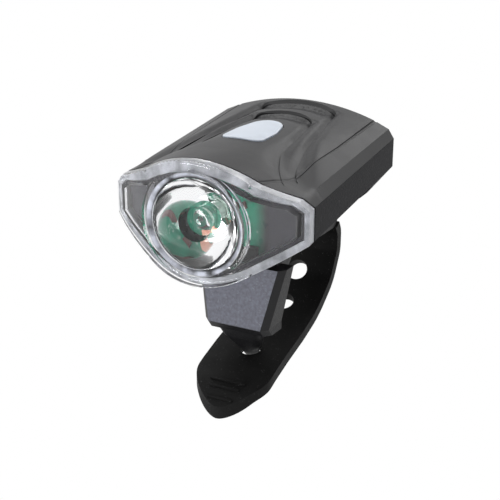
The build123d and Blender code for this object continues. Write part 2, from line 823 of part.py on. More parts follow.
# Parts on the main board
with BuildPart() as status_leds:
    with BuildSketch(plan_plane(main_board_top)):
        with Locations((-status_led_out, button_centre), (status_led_out, button_centre)):
            Rectangle(chip_wide, chip_long)
    extrude(amount=status_led_height)
status_leds.part.label = "status_leds"
export_step(status_leds.part, "parts/status_leds.step")

with BuildPart() as driver_chip:
    with BuildSketch(plan_plane(main_board_top)):
        with Locations((-part_out, part_front)):
            Rectangle(driver_size, driver_size)
    extrude(amount=driver_height)
driver_chip.part.label = "driver_chip"
export_step(driver_chip.part, "parts/driver_chip.step")

with BuildPart() as inductor:
    with BuildSketch(plan_plane(main_board_top)):
        with Locations((part_out, part_front)):
            RectangleRounded(inductor_size, inductor_size, inductor_size / 4)
    extrude(amount=inductor_height)
inductor.part.label = "inductor"
export_step(inductor.part, "parts/inductor.step")

with BuildPart() as capacitors:
    add(posts([(-part_out, part_rear), (part_out, part_rear)], capacitor_radius, main_board_top,
              main_board_top + capacitor_height))
capacitors.part.label = "capacitors"
export_step(capacitors.part, "parts/capacitors.step")

# Charging socket under the rear of the main board
with BuildPart() as usb_socket:
    with BuildSketch(cross_plane(socket_back)):
        with Locations((0, port_up)):
            RectangleRounded(socket_width, socket_height, socket_height / 4)
    extrude(amount=socket_depth)
    with BuildSketch(cross_plane(socket_back)):
        with Locations((0, port_up)):
            RectangleRounded(socket_width - 2 * socket_wall, socket_height - 2 * socket_wall, socket_height / 5)
    extrude(amount=socket_depth - socket_floor, mode=Mode.SUBTRACT)
    with BuildSketch(cross_plane(socket_back - socket_floor)):
        with Locations((0, port_up)):
            Rectangle(socket_tongue_width, socket_tongue)
    extrude(amount=socket_depth - socket_floor)
usb_socket.part.label = "usb_socket"
export_step(usb_socket.part, "parts/usb_socket.step")

# Flap over the charging port: swings down about its rounded lower edge
side_plane = Plane((0, 0, 0), x_dir=(0, 1, 0), z_dir=(1, 0, 0))
flap_axis = (case_length - flap_hinge_radius - lens_ahead, flap_bottom + flap_hinge_radius + lens_above)
with BuildPart() as usb_flap:
    with BuildSketch(side_plane):
        with Locations(flap_axis):
            Circle(flap_hinge_radius)
        with Locations((flap_axis[0], (flap_axis[1] + flap_top + lens_above) / 2)):
            Rectangle(flap_thickness, flap_top + lens_above - flap_axis[1])
    extrude(amount=flap_width / 2, both=True)
    top_corners = usb_flap.edges().filter_by(Axis.Y).sort_by(Axis.Z)[-2:]
    fillet(top_corners, flap_hinge_radius)
    with BuildSketch(side_plane):
        with Locations(flap_axis):
            Circle(flap_trunnion_radius)
    extrude(amount=flap_width / 2 + flap_trunnion_length, both=True)
    with BuildSketch(cross_plane(case_length - flap_thickness)):
        with Locations((0, port_up)):
            RectangleRounded(port_width - 2 * flap_plug_clearance, port_height - 2 * flap_plug_clearance,
                             port_height / 5)
    extrude(amount=flap_plug_length)
usb_flap.part.label = "usb_flap"
export_step(usb_flap.part, "parts/usb_flap.step")

# Battery on its pad, and the wires
with BuildPart() as battery_cell:
    with BuildSketch(cross_plane(battery_start + battery_length)):
        with Locations((0, battery_bottom + battery_thickness / 2)):
            RectangleRounded(battery_width, battery_thickness, battery_round)
    extrude(amount=battery_length)
battery_cell.part.label = "battery_cell"
export_step(battery_cell.part, "parts/battery_cell.step")

with BuildPart() as battery_pad:
    with BuildSketch(plan_plane(battery_bottom - pad_thickness)):
        with Locations((0, battery_start + battery_length / 2)):
            Rectangle(2 * rail_out + rail_width, battery_length)
    extrude(amount=pad_thickness)
battery_pad.part.label = "battery_pad"
export_step(battery_pad.part, "parts/battery_pad.step")


def wire(out, start, level, reach, end_level, radius):
    """Wire from an upright face back and then to a level face, with one bend."""
    with BuildPart() as run:
        with BuildLine(Plane((out, -lens_ahead, lens_above), x_dir=(0, 1, 0), z_dir=(1, 0, 0))) as path:
            bend = wire_bend_share * min(reach, abs(end_level - level))
            FilletPolyline((start, level), (start + reach, level), (start + reach, end_level), radius=bend)
        with BuildSketch(Plane((out, start - lens_ahead, level + lens_above), x_dir=(1, 0, 0), z_dir=(0, 1, 0))):
            Circle(radius)
        sweep(path=path.wire())
    return run.part


battery_end = battery_start + battery_length
with BuildPart() as battery_wire_red:
    add(wire(battery_wire_outs[0], battery_end, battery_wire_up, battery_wire_reach, board_under, wire_radius))
battery_wire_red.part.label = "battery_wire_red"
export_step(battery_wire_red.part, "parts/battery_wire_red.step")

with BuildPart() as battery_wire_black:
    add(wire(battery_wire_outs[1], battery_end, battery_wire_up, battery_wire_reach, board_under, wire_radius))
battery_wire_black.part.label = "battery_wire_black"
export_step(battery_wire_black.part, "parts/battery_wire_black.step")

with BuildPart() as led_wires:
    for side in (-1, 1):
        add(wire(side * led_wire_out, board_back, led_wire_up, led_wire_reach, main_board_top, led_wire_radius))
led_wires.part.label = "led_wires"
export_step(led_wires.part, "parts/led_wires.step")

# Swivel stack inside the case: washer over the bracket's boss, held by a screw
swivel_place = [(0, lens_ahead)]
boss_top = swivel_seat_top + washer_gap
with BuildPart() as swivel_washer:
    add(posts(swivel_place, washer_radius, boss_top, boss_top + washer_thickness))
    add(posts(swivel_place, swivel_screw_radius + screw_clearance, boss_top - overrun, boss_top + overrun),
        mode=Mode.SUBTRACT)
swivel_washer.part.label = "swivel_washer"
export_step(swivel_washer.part, "parts/swivel_washer.step")

head_bottom = boss_top + washer_thickness
with BuildPart() as swivel_screw:
    add(posts(swivel_place, swivel_screw_head, head_bottom, head_bottom + swivel_screw_head_height))
    add(posts(swivel_place, swivel_screw_radius, head_bottom - swivel_screw_length, head_bottom))
    with BuildSketch(plan_plane(head_bottom + swivel_screw_head_height)):
        with Locations(*swivel_place):
            RegularPolygon(swivel_screw_head / 2, 6)
    extrude(amount=-swivel_screw_head_height / 2, mode=Mode.SUBTRACT)
swivel_screw.part.label = "swivel_screw"
export_step(swivel_screw.part, "parts/swivel_screw.step")

# Line of the strap round the bar, from its pin to its tip
with BuildLine(side_plane) as strap_line:
    FilletPolyline(*[(bar_radius * y, bar_radius * z) for y, z in strap_route_shares],
                   radius=[bar_radius * bend for bend in strap_bend_shares])
strap_path = strap_line.wire()
pin_back, pin_up = (bar_radius * share for share in strap_route_shares[0])


def strap_plane(share, lift):
    """Plane on the strap at a share of its length, lifted towards the bar, with z away from the ground."""
    here = strap_path.position_at(share)
    along = strap_path.tangent_at(share)
    away = Vector(0, along.Z, -along.Y)
    return Plane(here + away * lift, x_dir=(1, 0, 0), z_dir=away)


# Saddle and its pad
saddle_radius = bar_radius + saddle_pad_thickness + pad_bond
with BuildPart() as saddle_pad:
    with BuildSketch(side_plane):
        with BuildLine():
            outer = CenterArc((0, 0), saddle_radius - pad_bond, saddle_rear_angle,
                              saddle_front_angle - saddle_rear_angle)
            inner = CenterArc((0, 0), bar_radius, saddle_rear_angle, saddle_front_angle - saddle_rear_angle)
            Line(outer @ 0, inner @ 0)
            Line(outer @ 1, inner @ 1)
        make_face()
    extrude(amount=arch_half_width, both=True)
saddle_pad.part.label = "saddle_pad"
export_step(saddle_pad.part, "parts/saddle_pad.step")


def block_section(up, halves, backs):
    """Level outline of the block: face edge, middle edge and rear edge, from left to right."""
    right = [(half, -back) for half, back in zip(halves, backs)]
    left = [(-half, back) for half, back in reversed(right)]
    with BuildSketch(Plane.XY.offset(up)) as outline:
        with BuildLine():
            Polyline(*right, *left, close=True)
        make_face()
    return outline.sketch


def rounded_slice(plane, width, depth, corner):
    """Rounded rectangle on a plane."""
    with BuildSketch(plane) as outline:
        RectangleRounded(width, depth, corner)
    return outline.sketch


# Hook: flat tongue below the block, then a round neck through the strap's last hole
hook_sections = [
    rounded_slice(Plane((0, back, level), x_dir=(1, 0, 0), z_dir=(0, 0, 1)), width, depth, corner)
    for width, depth, corner, back, level in zip(hook_widths, hook_depths, hook_rounds, hook_backs, hook_levels)
]
hook_share = strap_hole_shares[-1]
neck_outline = round_slice(strap_plane(hook_share, strap_thickness / 2 + hook_strap_gap), hook_neck_radius, (0, 0))
tip_outline = round_slice(strap_plane(hook_share, -strap_thickness / 2 - hook_past_strap), hook_tip_radius,
                          (0, hook_tip_shift))

# Bracket: saddle over the bar, block in front of it with the hook below, ears for the strap pin behind
with BuildPart() as bracket:
    front_end = radians(saddle_front_angle)
    rear_end = radians(saddle_rear_angle)
    front_lip = (saddle_radius * cos(front_end), saddle_radius * sin(front_end))
    rear_lip = (saddle_radius * cos(rear_end), saddle_radius * sin(rear_end))
    with BuildSketch(side_plane):
        with BuildLine():
            Polyline(
                front_lip,
                (neck_front, front_lip[1]),
                (neck_front, block_top),
                (neck_top_front, arch_top),
                (rear_lip[0] + saddle_rear_lip, arch_top),
                (rear_lip[0] + saddle_rear_lip, rear_lip[1]),
                rear_lip,
                close=True,
            )
        make_face()
        Circle(saddle_radius, mode=Mode.SUBTRACT)
    extrude(amount=arch_half_width, both=True)
    for side in (-1, 1):
        with BuildSketch(side_plane.offset(side * ear_inner_half)):
            with Locations((pin_back, pin_up)):
                Circle(ear_radius)
            with Locations((ear_root + ear_root_length / 2, arch_top - ear_root_height / 2)):
                Rectangle(ear_root_length, ear_root_height)
            make_hull()
            Circle(saddle_radius, mode=Mode.SUBTRACT)
            with Locations((pin_back, pin_up)):
                Circle(pin_radius + pin_running, mode=Mode.SUBTRACT)
        extrude(amount=side * (ear_outer_half - ear_inner_half))
    loft(sections=[
        block_section(block_bottom,
                      (block_face_bottom_half, block_mid_bottom_half, block_back_bottom_half),
                      (block_face_bottom_ahead - block_mid_back, block_face_bottom_ahead - 2 * block_mid_back,
                       block_back)),
        block_section(block_face_bottom,
                      (block_face_bottom_half, block_mid_bottom_half, block_back_bottom_half),
                      (block_face_bottom_ahead, block_face_bottom_ahead - block_mid_back, block_back)),
        block_section(block_top,
                      (block_face_top_half, block_mid_top_half, block_back_top_half),
                      (block_face_top_ahead, block_face_top_ahead - block_mid_back, block_back)),
    ], ruled=True)
    loft(sections=hook_sections, ruled=True)
    loft(sections=[hook_sections[-1], neck_outline], ruled=True)
    loft(sections=[neck_outline, tip_outline], ruled=True)
    add(posts(swivel_place, swivel_seat_radius - swivel_rim_gap, bar_radius - lens_above,
              swivel_seat_bottom - swivel_gap))
    add(posts(swivel_place, swivel_boss_radius, swivel_seat_bottom - swivel_gap - overrun, boss_top))
    with BuildSketch(side_plane):
        Circle(saddle_radius)
    extrude(amount=half_width, both=True, mode=Mode.SUBTRACT)
    add(posts(swivel_place, swivel_screw_radius + screw_clearance,
              head_bottom - swivel_screw_length - screw_clearance, boss_top), mode=Mode.SUBTRACT)
bracket.part.label = "bracket"
export_step(bracket.part, "parts/bracket.step")

with BuildPart() as strap_pin:
    with BuildSketch(side_plane):
        with Locations((pin_back, pin_up)):
            Circle(pin_radius)
    extrude(amount=ear_outer_half, both=True)
strap_pin.part.label = "strap_pin"
export_step(strap_pin.part, "parts/strap_pin.step")

# Strap: band with an eye on the pin, round holes, a leaf-shaped tip and three grip ribs
with BuildPart() as strap:
    along = strap_path.tangent_at(0)
    with BuildSketch(Plane(strap_path.position_at(0), x_dir=(1, 0, 0), z_dir=along)):
        Rectangle(2 * strap_half_width, strap_thickness)
    sweep(path=strap_path)
    tip = strap_path.position_at(1)
    with BuildSketch(Plane.XY.offset(tip.Z - strap_half_width)):
        with BuildLine():
            nose = tip.Y + strap_thickness / 2
            root = nose + strap_tip_taper
            side = [(strap_half_width * out, nose + strap_tip_taper * back) for out, back in strap_tip_shares]
            Polyline((-strap_half_width - overrun, root), (-strap_half_width, root))
            Bezier(*[(-out, back) for out, back in side])
            Bezier(*reversed(side))
            far = tip.Y - strap_half_width
            Polyline((strap_half_width, root), (strap_half_width + overrun, root),
                     (strap_half_width + overrun, far), (-strap_half_width - overrun, far),
                     (-strap_half_width - overrun, root))
        make_face()
    extrude(amount=2 * strap_half_width, mode=Mode.SUBTRACT)
    for side in (-1, 1):
        with BuildSketch(side_plane.offset(side * strap_eye_half_width)):
            with Locations((pin_back, pin_up)):
                Circle(ear_radius + strap_ear_gap)
        extrude(amount=side * strap_half_width, mode=Mode.SUBTRACT)
    with BuildSketch(side_plane):
        with Locations((pin_back, pin_up)):
            Circle(strap_eye_radius)
    extrude(amount=strap_eye_half_width, both=True)
    with BuildSketch(side_plane):
        with Locations((pin_back, pin_up)):
            Circle(pin_radius + pin_running)
    extrude(amount=strap_half_width, both=True, mode=Mode.SUBTRACT)
    for share in strap_hole_shares:
        with BuildSketch(strap_plane(share, 0)):
            Circle(strap_hole_radius)
        extrude(amount=strap_hole_radius, both=True, mode=Mode.SUBTRACT)
    for share, half_length in zip(rib_shares, rib_half_lengths):
        with BuildSketch(strap_plane(share, 0)):
            SlotOverall(2 * half_length, rib_width)
        extrude(amount=strap_thickness / 2 + rib_height)
strap.part.label = "strap"
export_step(strap.part, "parts/strap.step")
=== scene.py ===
from math import cos, exp, radians, sin

import bmesh
import bpy
from mathutils import Matrix, Vector
from mathutils.bvhtree import BVHTree


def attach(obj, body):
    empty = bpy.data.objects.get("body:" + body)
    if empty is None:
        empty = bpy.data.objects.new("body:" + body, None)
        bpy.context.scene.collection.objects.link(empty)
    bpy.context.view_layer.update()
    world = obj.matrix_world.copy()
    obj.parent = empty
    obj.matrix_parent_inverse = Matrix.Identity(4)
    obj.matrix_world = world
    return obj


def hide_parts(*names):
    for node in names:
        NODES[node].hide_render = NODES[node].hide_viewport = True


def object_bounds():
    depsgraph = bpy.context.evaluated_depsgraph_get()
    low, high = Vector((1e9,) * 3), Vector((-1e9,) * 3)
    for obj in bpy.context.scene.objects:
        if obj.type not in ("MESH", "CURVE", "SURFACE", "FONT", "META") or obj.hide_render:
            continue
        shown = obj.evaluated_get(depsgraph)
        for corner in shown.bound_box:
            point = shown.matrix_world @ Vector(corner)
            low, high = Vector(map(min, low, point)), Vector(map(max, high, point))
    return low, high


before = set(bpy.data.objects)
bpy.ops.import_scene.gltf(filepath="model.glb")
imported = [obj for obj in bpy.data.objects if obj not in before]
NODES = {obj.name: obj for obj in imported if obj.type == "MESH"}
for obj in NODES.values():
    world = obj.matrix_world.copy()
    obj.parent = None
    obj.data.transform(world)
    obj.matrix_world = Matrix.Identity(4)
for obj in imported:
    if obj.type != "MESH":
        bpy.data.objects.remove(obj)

bl_info = {
    "name": "Bike headlight",
    "version": (1, 0, 0),
    "blender": (4, 5, 0),
    "location": "View3D > Sidebar > Headlight",
    "description": "Dresses the bike headlight and sets its stage",
    "category": "Object",
}

# Lengths are in metres, powers in watts. The lamp points along -Y and Z is up.

CAD_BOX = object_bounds()
LENS_AXIS = (0.0, -0.0385, 0.0263)
MERGE_GAP = 0.000004

# Top cover: front part of the crease and the two terraces, as (x, y) on the side where x is positive
CREASE_FRONT = ((0.01615, -0.01423), (0.01599, -0.01835), (0.01577, -0.02284), (0.01538, -0.02702),
                (0.01422, -0.03041), (0.01294, -0.03342))
CREASE_SCALE = 0.02
CREASE_HALF_WIDTH = 0.0003
CREASE_DEPTH = 0.00014
# Each terrace: its leg from the arch's corner to the front, and the arch's y in the middle plane
TERRACES = (
    (((0.0072, 0.0061), (0.0099, -0.0157), (0.0116, -0.0211), (0.0164, -0.0291)), 0.0091),
    (((0.0094, 0.0149), (0.0123, -0.0065), (0.0144, -0.0169), (0.0172, -0.0239)), 0.0173),
)
# A leg's hollow: half width behind, what it gains to the front and where, and where it starts and stops
LEG_HALF_WIDTH, LEG_FLARE, LEG_FLARE_SPAN = 0.001, 0.002, (-0.004, -0.024)
LEG_START, LEG_STOP = (-0.0295, -0.021), (0.0012, -0.001)
LEG_BLUR = (-0.002, 0, 0.002)
# An arch's hollow: rise and fall by the distance behind the arch, and its fade by the distance off the corner
BOWL_RISE, BOWL_FALL, BOWL_SIDE = (-0.0064, -0.0014), (-0.0001, -0.0011), (0.0003, -0.0032)
# Cuts through the skin, which carry the hollows: axis, first and last place
CUT_SPANS = ((0, -0.0204, 0.0204), (1, -0.0306, 0.0186))
CUT_SNAP = 0.000002
COVER_SKIN = 0.0325
SHARP_ANGLE = 24.0
# Inner points follow the skin down to a depth, and stay in place next to the screws
INNER_DEPTH, INNER_FADE = 0.0026, 0.0011
SCREW_ROOM, SCREW_FADE = 0.0003, 0.0012
# A face counts as the skin's outside from this z of its normal, and depths are measured by rays from above the box
UPWARD, ABOVE = 0.05, 0.01

# Finishes: a noise counts from a quarter to three quarters, specks lie in patches of a coarser noise
NOISE_SPAN = (0.25, 0.75)
GRAIN_DEPTH, BUTTON_GRAIN_DEPTH = 0.00005, 0.00004
PATCH_SCALE, PATCH_SPAN = 0.37, (0.52, 0.62)
# Bracket: height of the step below its front face, and how far a normal points forward there. Faces that point less
# forward take the darker colour as painted shade.
BRACKET_STEP, BRACKET_FADE, BRACKET_SHADE_FACING = -0.0045, 0.0003, (-0.8, -0.9)
# Lamp board: painted shade, its colour turns to the bezel's between these distances from the middle plane
BOARD_PAINTED_SHADE = (0.0086, 0.0122)
# Clear plastic: how far a normal points forward on upright walls, and the fade outside their radius
WALL_FACING, WALL_FADE = (0.1, 0.5), 0.0004
# Lens: a painted glow, faint emission that stands in for the light on its rim: its colour, the mottling's span, where
# it starts and its fade
LENS_PAINTED_GLOW, LENS_PAINTED_GLOW_SPAN = (0.105, 0.108, 0.12), (-0.2, 1.5)
LENS_PAINTED_GLOW_FROM, LENS_PAINTED_GLOW_FADE = 0.0103, 0.0005

# Soft pieces
FLAT_ANGLE = 1.5
EDGE_ANGLE = 28.0
EDGE_SEGMENTS = 3

# Stage
FLOOR_DROP = 0.012
FLOOR_HALF = 2
FLOOR_COLOUR, FLOOR_ROUGHNESS = (0.85, 0.85, 0.85), 0.7
WORLD_FILL = 0.35
# Lamp name, place, target, size and power
LAMPS = (
    ("key_softbox", (-0.12, 0.06, 0.4), (0, -0.01, 0.02), (0.24, 0.24), 1.3),
    ("front_softbox", (-0.16, -0.4, 0.0), (0, -0.02, 0.0), (0.2, 0.2), 1.4),
    ("rear_softbox", (0.12, 0.32, 0.26), (0, 0, 0.03), (0.26, 0.13), 0.5),
)
CAMERA_TURN, CAMERA_TILT = 26.29, 21.99
CAMERA_BACK, CAMERA_RIGHT, CAMERA_UP = 0.23711, 0.01182, -0.00506
CAMERA_LENS, CAMERA_SENSOR, CAMERA_NEAR = 82.26, 36.0, 0.005


# Shader nodes

def put(tree, kind, inputs=None, **settings):
    """New shader node; each of its inputs takes a value or another node's output."""
    node = tree.nodes.new("ShaderNode" + kind)
    for label, value in settings.items():
        setattr(node, label, value)
    for label, value in (inputs or {}).items():
        if isinstance(value, bpy.types.NodeSocket):
            tree.links.new(value, node.inputs[label])
        else:
            node.inputs[label].default_value = value
    return node


def maths(tree, operation, *values):
    return put(tree, "Math", dict(enumerate(values)), operation=operation).outputs[0]


def ramp(tree, value, start, end, low=0.0, high=1.0, smooth=False):
    """Numbers from low to high as a value goes from start to end."""
    inputs = {"Value": value, "From Min": start, "From Max": end, "To Min": low, "To Max": high}
    kind = "SMOOTHSTEP" if smooth else "LINEAR"
    return put(tree, "MapRange", inputs, interpolation_type=kind).outputs["Result"]


def spread(tree, noise, low=0.0, high=1.0):
    """Numbers from low to high over the span of a noise."""
    return ramp(tree, noise, *NOISE_SPAN, low, high)


def blend(tree, factor, first, second):
    """Colour between two, each a colour or another node's output."""
    pair = [tone if isinstance(tone, bpy.types.NodeSocket) else (*tone, 1) for tone in (first, second)]
    return put(tree, "Mix", {"Factor": factor, "A": pair[0], "B": pair[1]}, data_type="RGBA").outputs["Result"]


def axes(tree, vector):
    return put(tree, "SeparateXYZ", {0: vector}).outputs


def bump(tree, height, strength, distance, below=None):
    """Normal with a relief pressed in, over another normal where one is given."""
    inputs = {"Strength": strength, "Distance": distance, "Height": height}
    if below:
        inputs["Normal"] = below
    return put(tree, "Bump", inputs).outputs["Normal"]


# Shared surface effects

def grain_nodes(tree, start, end):
    """Fine pebbled grain of a spark-eroded mould, with slow mottling of the gloss."""
    grain = put(tree, "TexNoise", {"Detail": 3.0, "Vector": start["Position"], "Scale": start["Grain"]})
    cells = put(tree, "TexVoronoi", {"Vector": start["Position"], "Scale": start["Grain"]}, feature="SMOOTH_F1")
    mottle = put(tree, "TexNoise", {"Detail": 4.0, "Vector": start["Position"], "Scale": start["Mottle"]})
    tree.links.new(maths(tree, "ADD", grain.outputs["Fac"], cells.outputs["Distance"]), end["Height"])
    tree.links.new(mottle.outputs["Fac"], end["Mottling"])


def speck_nodes(tree, start, end):
    """Sparse pale specks, as the glint of a coarse grain."""
    cells = put(tree, "TexVoronoi", {"Vector": start["Position"], "Scale": start["Scale"]})
    scale = maths(tree, "MULTIPLY", start["Scale"], PATCH_SCALE)
    thin = put(tree, "TexNoise", {"Detail": 2.0, "Vector": start["Position"], "Scale": scale})
    near = ramp(tree, cells.outputs["Distance"], 0.0, start["Reach"], 1.0, 0.0)
    some = ramp(tree, thin.outputs["Fac"], *PATCH_SPAN)
    tree.links.new(maths(tree, "MULTIPLY", near, some), end["Specks"])


def crease_nodes(tree, start, end):
    """Fine line that curls from the window's notch over each shoulder."""
    rear, front = CREASE_FRONT[0][1], CREASE_FRONT[-1][1]
    place = axes(tree, start["Position"])
    curve_node = put(tree, "FloatCurve", {"Value": ramp(tree, place["Y"], front, rear)})
    curve = curve_node.mapping.curves[0]
    points = [((y - front) / (rear - front), x / CREASE_SCALE) for x, y in reversed(CREASE_FRONT)]
    curve.points[0].location = points[0]
    curve.points[1].location = points[-1]
    for point in points[1:-1]:
        curve.points.new(*point)
    curve_node.mapping.update()
    edge = maths(tree, "MULTIPLY", curve_node.outputs[0], CREASE_SCALE)
    off = maths(tree, "SUBTRACT", maths(tree, "ABSOLUTE", place["X"]), edge)
    share = maths(tree, "DIVIDE", off, start["Half Width"])
    line = maths(tree, "EXPONENT", maths(tree, "MULTIPLY", maths(tree, "MULTIPLY", share, share), -1.0))
    fade = ramp(tree, place["Y"], rear, CREASE_FRONT[1][1], smooth=True)
    tree.links.new(maths(tree, "MULTIPLY", maths(tree, "MULTIPLY", line, fade), -1.0), end["Height"])


EFFECTS = {
    "moulded_grain": (grain_nodes, {"Position": None, "Grain": 6000.0, "Mottle": 160.0}, ("Height", "Mottling")),
    "fine_specks": (speck_nodes, {"Position": None, "Scale": 2500.0, "Reach": 0.2}, ("Specks",)),
    "crease_line": (crease_nodes, {"Position": None, "Half Width": CREASE_HALF_WIDTH}, ("Height",)),
}


def effect_group(name):
    """Shader node group of an effect, built when it is first asked for."""
    if name in bpy.data.node_groups:
        return bpy.data.node_groups[name]
    fill, inputs, outputs = EFFECTS[name]
    group = bpy.data.node_groups.new(name, "ShaderNodeTree")
    for label, value in inputs.items():
        kind = "NodeSocketVector" if value is None else "NodeSocketFloat"
        socket = group.interface.new_socket(name=label, in_out="INPUT", socket_type=kind)
        if value is not None:
            socket.default_value = value
    for label in outputs:
        group.interface.new_socket(name=label, in_out="OUTPUT", socket_type="NodeSocketFloat")
    fill(group, group.nodes.new("NodeGroupInput").outputs, group.nodes.new("NodeGroupOutput").inputs)
    return group


def effect(tree, name, position, **values):
    """Outputs of a shared effect, placed in a material with its own values."""
    inputs = {"Position": position}
    inputs.update({label.replace("_", " "): value for label, value in values.items()})
    return put(tree, "Group", inputs, node_tree=effect_group(name)).outputs


# Materials

def new_material(name):
    material = bpy.data.materials.new(name)
    material.use_nodes = True
    tree = material.node_tree
    return material, tree, tree.nodes["Principled BSDF"], put(tree, "TexCoord").outputs["Object"]


def times(colour, factor):
    return [factor * part for part in colour]


def moulded(name, colour, paler, roughness, grain, depth, mottle=160.0, gloss=0.5, specks=None,
            speck_colour=(0.2, 0.2, 0.2), over=None, below=None):
    """Moulded plastic or rubber: grain, mottled gloss and, where given, pale specks, a change of colour and lines."""
    if name in bpy.data.materials:
        return bpy.data.materials[name]
    material, tree, shader, position = new_material(name)
    surface = effect(tree, "moulded_grain", position, Grain=grain, Mottle=mottle)
    tone = blend(tree, spread(tree, surface["Mottling"]), colour, paler)
    if specks:
        scale, reach = specks
        dots = effect(tree, "fine_specks", position, Scale=scale, Reach=reach)
        tone = blend(tree, dots["Specks"], tone, speck_colour)
    if over:
        tone = over(tree, position, tone)
    normal = bump(tree, surface["Height"], depth, GRAIN_DEPTH, below(tree, position) if below else None)
    tree.links.new(tone, shader.inputs["Base Color"])
    tree.links.new(spread(tree, surface["Mottling"], *roughness), shader.inputs["Roughness"])
    tree.links.new(normal, shader.inputs["Normal"])
    shader.inputs["Specular IOR Level"].default_value = gloss
    return material


def crease_below(tree, position):
    """Normal with the front part of the crease."""
    line = effect(tree, "crease_line", position, Half_Width=CREASE_HALF_WIDTH)
    return bump(tree, line["Height"], 1.0, CREASE_DEPTH)


def only_in_front(smooth):
    """Keeps a colour to the bracket's front face above its step; elsewhere it is the darker colour: the smoother
    plastic of the hook below the step, and painted shade on the sides that face away from the front.
    """
    def change(tree, position, tone):
        high = ramp(tree, axes(tree, position)["Z"], BRACKET_STEP - BRACKET_FADE, BRACKET_STEP)
        ahead = ramp(tree, axes(tree, position.node.outputs["Normal"])["Y"], *BRACKET_SHADE_FACING)
        return blend(tree, maths(tree, "MULTIPLY", high, ahead), smooth, tone)
    return change


def painted_side_shade(colour, near, far):
    """Painted shade: turns to another colour between two distances from the middle plane; on the lamp board the
    bezel's dark colour stands in for the shade away from the lens.
    """
    def change(tree, position, tone):
        off = maths(tree, "ABSOLUTE", axes(tree, position)["X"])
        return blend(tree, ramp(tree, off, near, far, smooth=True), tone, colour)
    return change


def clear_plastic(name, tint, ior, roughness, wall_roughness, wall_from, painted_glow_from=None):
    """Polished clear plastic, hazier on upright walls and, where given, with a faint painted glow outside a radius of
    the lens: emission that stands in for the light on its rim.
    """
    if name in bpy.data.materials:
        return bpy.data.materials[name]
    material, tree, shader, position = new_material(name)
    surface = effect(tree, "moulded_grain", position, Grain=900.0, Mottle=330.0)
    shader.inputs["Base Color"].default_value = (*tint, 1)
    shader.inputs["Transmission Weight"].default_value = 1.0
    shader.inputs["IOR"].default_value = ior
    ahead = maths(tree, "ABSOLUTE", axes(tree, position.node.outputs["Normal"])["Y"])
    wall = ramp(tree, ahead, *WALL_FACING, 1.0, 0.0, smooth=True)
    offset = put(tree, "VectorMath", {0: position, 1: (1, 0, 1), 2: (0, 0, -LENS_AXIS[2])}, operation="MULTIPLY_ADD")
    radius = put(tree, "VectorMath", {0: offset.outputs[0]}, operation="LENGTH").outputs["Value"]
    hazy = maths(tree, "MULTIPLY", wall, ramp(tree, radius, wall_from, wall_from + WALL_FADE))
    polish = spread(tree, surface["Mottling"], *roughness)
    tree.links.new(maths(tree, "MULTIPLY_ADD", hazy, wall_roughness, polish), shader.inputs["Roughness"])
    # Painted glow: emission outside a radius, uneven by the mottling
    if painted_glow_from:
        glow_zone = ramp(tree, radius, painted_glow_from, painted_glow_from + LENS_PAINTED_GLOW_FADE)
        uneven_glow = maths(tree, "MULTIPLY", glow_zone, spread(tree, surface["Mottling"], *LENS_PAINTED_GLOW_SPAN))
        tree.links.new(blend(tree, uneven_glow, (0, 0, 0), LENS_PAINTED_GLOW), shader.inputs["Emission Color"])
        shader.inputs["Emission Strength"].default_value = 1.0
    return material


def metal(name, colour, roughness):
    """Plated or foil metal with fine wear in its gloss."""
    if name in bpy.data.materials:
        return bpy.data.materials[name]
    material, tree, shader, position = new_material(name)
    surface = effect(tree, "moulded_grain", position, Grain=3000.0, Mottle=700.0)
    shader.inputs["Metallic"].default_value = 1.0
    tone = blend(tree, spread(tree, surface["Mottling"]), colour, times(colour, 0.8))
    tree.links.new(tone, shader.inputs["Base Color"])
    tree.links.new(spread(tree, surface["Mottling"], *roughness), shader.inputs["Roughness"])
    return material


def silicone_button(name, pale):
    """Pale translucent silicone."""
    material, tree, shader, position = new_material(name)
    surface = effect(tree, "moulded_grain", position, Grain=3500.0, Mottle=230.0)
    tone = blend(tree, spread(tree, surface["Mottling"]), pale, [min(1.0, part) for part in times(pale, 1.18)])
    tree.links.new(tone, shader.inputs["Base Color"])
    tree.links.new(spread(tree, surface["Mottling"], 0.34, 0.44), shader.inputs["Roughness"])
    shader.inputs["Subsurface Weight"].default_value = 0.5
    shader.inputs["Subsurface Radius"].default_value = (1.0, 1.0, 1.0)
    shader.inputs["Subsurface Scale"].default_value = 0.0012
    tree.links.new(bump(tree, surface["Height"], 0.15, BUTTON_GRAIN_DEPTH), shader.inputs["Normal"])
    return material


# Material name, colour and roughness of each metal
METALS = {
    "steel": ("bright_steel", (0.62, 0.62, 0.63), (0.22, 0.35)),
    "dark_steel": ("dark_steel", (0.08, 0.08, 0.085), (0.35, 0.5)),
    "copper": ("copper_strip", (0.72, 0.38, 0.28), (0.3, 0.45)),
    "aluminium": ("brushed_aluminium", (0.7, 0.71, 0.73), (0.3, 0.45)),
    "foil": ("cell_foil", (0.66, 0.67, 0.7), (0.3, 0.5)),
}
